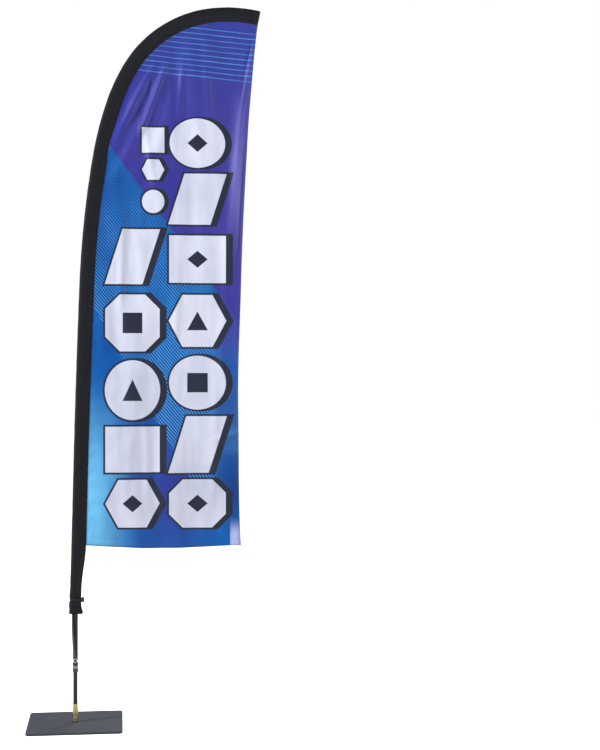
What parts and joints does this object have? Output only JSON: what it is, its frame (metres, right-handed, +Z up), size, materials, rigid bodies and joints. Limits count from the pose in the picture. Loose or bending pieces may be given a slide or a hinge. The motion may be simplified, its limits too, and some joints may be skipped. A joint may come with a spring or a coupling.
{
  "type": "feather flag",
  "caption": "Free-standing feather banner: a printed cloth panel on a bowed pole that turns on a bearing spindle fixed to a square steel floor plate.",
  "frame": {"origin": "on the floor under the middle of the square base plate", "axes": "+Z up along the spindle, +X towards the flag's free edge, the cloth lies in the XZ plane, -Y is the side seen with the pole on the left"},
  "size_m": [0.9921, 0.4, 3.0749],
  "materials": {
    "rubber_pad": "matte",
    "plate_coat": "satin powder coat",
    "zinc": "bright zinc",
    "black_nylon": "matte",
    "yellow_zinc": "yellow passivated zinc",
    "bearing_steel": "ground",
    "spring_steel": "dark",
    "black_tube": "satin black",
    "grey_ferrule": "satin",
    "black_alloy": "black anodised",
    "glass_fibre": "black pultruded glass fibre",
    "black_cloth": "black polyester",
    "printed_cloth": "dye printed knitted polyester",
    "black_webbing": "woven webbing",
    "nickel": "nickel plated",
    "black_cord": "braided",
    "lock_plastic": "moulded"
  },
  "bodies": {
    "base": {"base_pad": "rubber_pad", "base_plate": "plate_coat", "plate_bolt": "zinc", "foot_collar": "black_nylon", "spindle": "yellow_zinc", "bearing_inner_races": "bearing_steel", "bearing_balls": "bearing_steel", "bearing_spacer": "zinc", "retaining_washer": "zinc", "retaining_screw": "zinc"},
    "rotor": {"rotor_housing": "yellow_zinc", "bearing_outer_races": "bearing_steel", "bearing_circlip": "spring_steel", "rotor_tube": "black_tube", "tube_rivet": "zinc", "tube_cap": "black_nylon", "stop_collar": "black_nylon", "collar_screw": "zinc"},
    "pole": {"pole_end_ferrule": "grey_ferrule", "pole_lower": "black_alloy", "ferrule_lower": "grey_ferrule", "pole_middle": "black_alloy", "ferrule_upper": "grey_ferrule", "pole_upper": "glass_fibre", "tip_cap": "black_nylon", "pole_sleeve": "black_cloth", "tip_pocket": "black_cloth", "sleeve_cuff": "black_cloth", "flag_panel": "printed_cloth", "tension_strap": "black_webbing", "strap_band": "black_webbing", "strap_buckle": "nickel", "drawcord": "black_cord", "cord_lock_body": "lock_plastic", "cord_lock_spring": "spring_steel"},
    "lock_button": {"cord_lock_button": "lock_plastic"}
  },
  "joints": [
    {"name": "rotor_spin", "type": "hinge", "parent": "base", "child": "rotor", "pos_m": [0, 0, 0.07], "axis": [0, 0, 1], "continuous": true},
    {"name": "pole_lift", "type": "slide", "parent": "rotor", "child": "pole", "axis": [0, 0, 1], "range_m": [0, 0.15]},
    {"name": "cord_lock_press", "type": "slide", "parent": "pole", "child": "lock_button", "axis": [0, 0, -1], "range_m": [0, 0.003], "stiffness_N_per_m": 500, "springref_m": -0.002, "deforming": ["cord_lock_spring"]}
  ]
}
